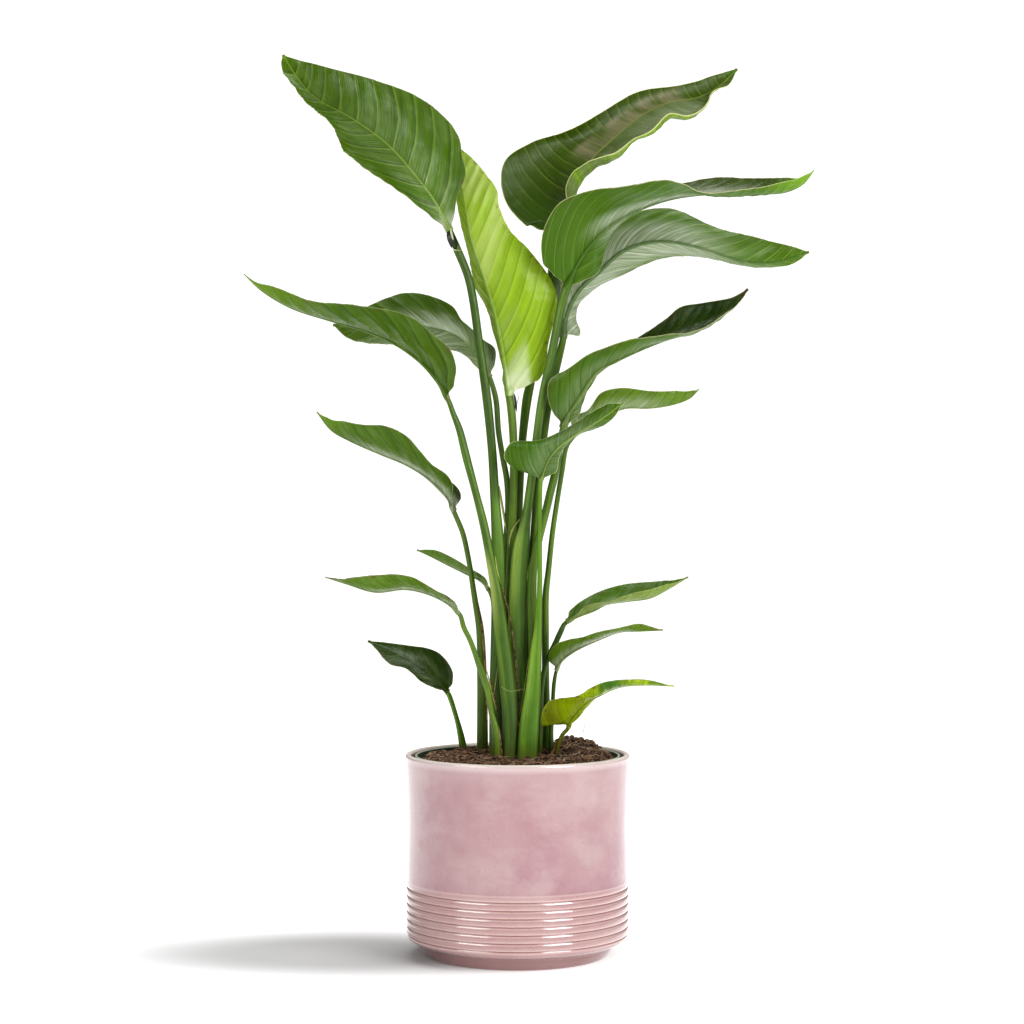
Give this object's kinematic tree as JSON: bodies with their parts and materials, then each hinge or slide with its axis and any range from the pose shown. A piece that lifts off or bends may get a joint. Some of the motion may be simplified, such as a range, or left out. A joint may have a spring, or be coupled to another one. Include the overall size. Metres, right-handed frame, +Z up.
{
  "type": "potted bird of paradise plant in a glazed planter",
  "caption": "Bird of paradise house plant with broad arching leaves on upright stalks, rooted in peat in a plastic growing pot inside a ribbed pink glazed planter.",
  "frame": {"origin": "centre of the planter's flat underside, on the surface that it stands on", "axes": "+Z up; -Y towards the viewer of the front elevation; +X to the right of it"},
  "size_m": [0.562, 0.2408, 0.9115],
  "materials": {
    "pink_glaze": "gloss",
    "pot_plastic": "satin",
    "peat": "matte",
    "leaf_green": "satin",
    "leaf_young": "satin",
    "leaf_yellow": "satin",
    "leaf_old": "satin",
    "stalk_green": "satin"
  },
  "bodies": {
    "root": {"planter": "pink_glaze", "nursery_pot": "pot_plastic", "soil": "peat", "blade_top_left": "leaf_green", "stalk_top_left": "stalk_green", "blade_top_centre": "leaf_young", "stalk_top_centre": "stalk_green", "blade_mid_left": "leaf_green", "stalk_mid_left": "stalk_green", "blade_mid_left_rear": "leaf_green", "stalk_mid_left_rear": "stalk_green", "blade_low_left": "leaf_green", "stalk_low_left": "stalk_green", "blade_inner_left": "leaf_green", "stalk_inner_left": "stalk_green", "blade_lower_left": "leaf_old", "stalk_lower_left": "stalk_green", "blade_lowest_left": "leaf_old", "stalk_lowest_left": "stalk_green", "blade_top_right_rear": "leaf_old", "stalk_top_right_rear": "stalk_green", "blade_right_upper": "leaf_green", "stalk_right_upper": "stalk_green", "blade_right_middle": "leaf_green", "stalk_right_middle": "stalk_green", "blade_right_lower": "leaf_green", "stalk_right_lower": "stalk_green", "blade_front_folded": "leaf_green", "stalk_front_folded": "stalk_green", "blade_rear_folded": "leaf_green", "stalk_rear_folded": "stalk_green", "blade_lower_right": "leaf_green", "stalk_lower_right": "stalk_green", "blade_small_right": "leaf_green", "stalk_small_right": "stalk_green", "blade_lowest_right": "leaf_yellow", "stalk_lowest_right": "stalk_green"}
  },
  "joints": []
}
